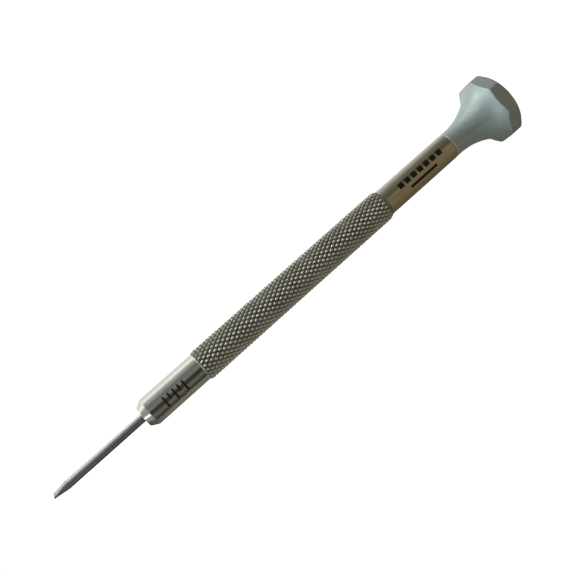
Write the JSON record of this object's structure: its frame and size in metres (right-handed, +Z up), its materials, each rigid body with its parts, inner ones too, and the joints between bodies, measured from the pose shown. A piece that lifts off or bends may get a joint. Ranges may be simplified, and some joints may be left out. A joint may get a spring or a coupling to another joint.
{
  "type": "watchmaker screwdriver",
  "caption": "Watchmaker's slotted screwdriver: clamped round blade, knurled one-piece body and a free-turning eight-sided head with a trumpet neck.",
  "frame": {"origin": "centre of the tool's length and width, on the surface under the head's lowest flat", "axes": "+X along the tool from the blade's tip to the head, +Z up square to the head's top flat"},
  "size_m": [0.0916, 0.011, 0.011],
  "materials": {
    "plated_body": "satin nickel-chrome plate, turned and knurled",
    "blade_steel": "ground and polished hardened steel",
    "screw_steel": "turned steel, slotted",
    "head_alloy": "satin anodised, pale blue-grey",
    "bush_bronze": "turned bronze",
    "bearing_steel": "ground bearing steel",
    "cage_brass": "drilled brass"
  },
  "bodies": {
    "handle": {"handle_body": "plated_body", "axle_screw": "screw_steel", "inner_race": "bearing_steel"},
    "blade": {"blade": "blade_steel"},
    "clamp_screw": {"blade_screw": "screw_steel"},
    "head": {"head_shell": "head_alloy", "end_disc": "head_alloy", "neck_bush": "bush_bronze", "outer_race": "bearing_steel"},
    "ball_cage": {"bearing_cage": "cage_brass", "bearing_balls": "bearing_steel"}
  },
  "joints": [
    {"name": "head_spin", "type": "hinge", "parent": "handle", "child": "head", "pos_m": [0.04225, 0, 0.0055], "axis": [1, 0, 0], "continuous": true},
    {"name": "cage_spin", "type": "hinge", "parent": "handle", "child": "ball_cage", "pos_m": [0.04225, 0, 0.0055], "axis": [1, 0, 0], "continuous": true},
    {"name": "blade_pull", "type": "slide", "parent": "handle", "child": "blade", "axis": [-1, 0, 0], "range_m": [0, 0.02]},
    {"name": "clamp_screw_out", "type": "slide", "parent": "handle", "child": "clamp_screw", "axis": [0, -0.7071, -0.7071], "range_m": [0, 0.0016]}
  ],
  "couplings": [
    {"joint": "cage_spin", "follows": "head_spin", "ratio": 0.6143}
  ]
}
